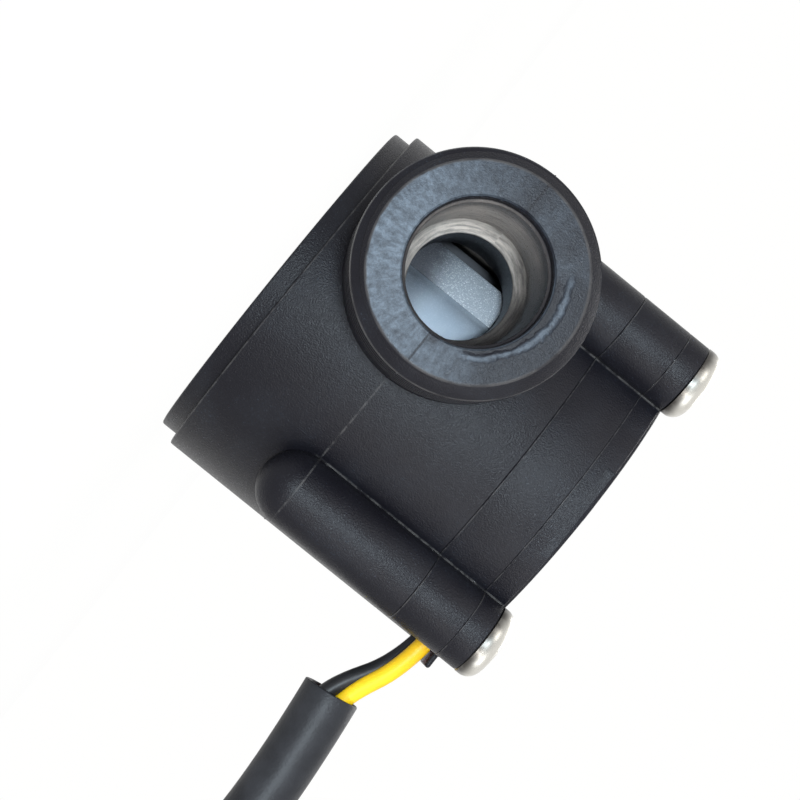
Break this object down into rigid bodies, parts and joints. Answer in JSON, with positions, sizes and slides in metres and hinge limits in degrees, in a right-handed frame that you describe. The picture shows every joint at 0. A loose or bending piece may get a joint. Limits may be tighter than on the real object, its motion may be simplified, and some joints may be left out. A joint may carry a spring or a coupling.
{
  "type": "water flow sensor",
  "caption": "Inline water flow sensor with a threaded pipe end on each side, a turbine wheel in a round screwed housing and a sleeved three-wire lead with a plug.",
  "frame": {"origin": "centre of the round housing's flat back face", "axes": "+Z along the housing axis towards the cover and its screws, +X along the pipe axis the way the water flows, and the lead leaves towards -Y"},
  "size_m": [0.0838, 0.1132, 0.0359],
  "materials": {
    "black_nylon": "fine-grained black glass-filled nylon",
    "seal_rubber": "plain black rubber",
    "screw_steel": "nickel-plated steel",
    "wheel_plastic": "frosted white moulding",
    "magnet_plating": "nickel plating",
    "shaft_steel": "ground stainless steel",
    "washer_plastic": "unfilled white plastic",
    "board_laminate": "green solder mask",
    "switch_case": "black moulded case with tinned leads",
    "capacitor_ceramic": "fired ceramic",
    "resistor_ceramic": "black glass over ceramic",
    "yellow_insulation": "smooth soft plastic",
    "black_insulation": "smooth soft plastic",
    "red_insulation": "smooth soft plastic",
    "sleeve_plastic": "dull dark sleeve",
    "connector_plastic": "unfilled off-white nylon",
    "contact_tin": "tinned brass strip"
  },
  "bodies": {
    "housing": {"housing_body": "black_nylon", "cover": "black_nylon", "cap_plate": "black_nylon", "cover_seal": "seal_rubber", "cover_screw_front_left": "screw_steel", "cover_screw_front_right": "screw_steel", "cover_screw_rear_left": "screw_steel", "cover_screw_rear_right": "screw_steel", "wheel_shaft": "shaft_steel", "lower_washer": "washer_plastic", "upper_washer": "washer_plastic", "circuit_board": "board_laminate", "hall_switch": "switch_case", "board_capacitor": "capacitor_ceramic", "board_resistor": "resistor_ceramic", "wire_yellow": "yellow_insulation", "wire_black": "black_insulation", "wire_red": "red_insulation", "lead_sleeve": "sleeve_plastic", "connector_housing": "connector_plastic", "terminal_yellow": "contact_tin", "terminal_black": "contact_tin", "terminal_red": "contact_tin"},
    "rotor": {"turbine_wheel": "wheel_plastic", "wheel_magnet_a": "magnet_plating", "wheel_magnet_b": "magnet_plating"}
  },
  "joints": [
    {"name": "rotor_spin", "type": "hinge", "parent": "housing", "child": "rotor", "pos_m": [0, 0, 0.0132], "axis": [0, 0, 1], "continuous": true}
  ]
}
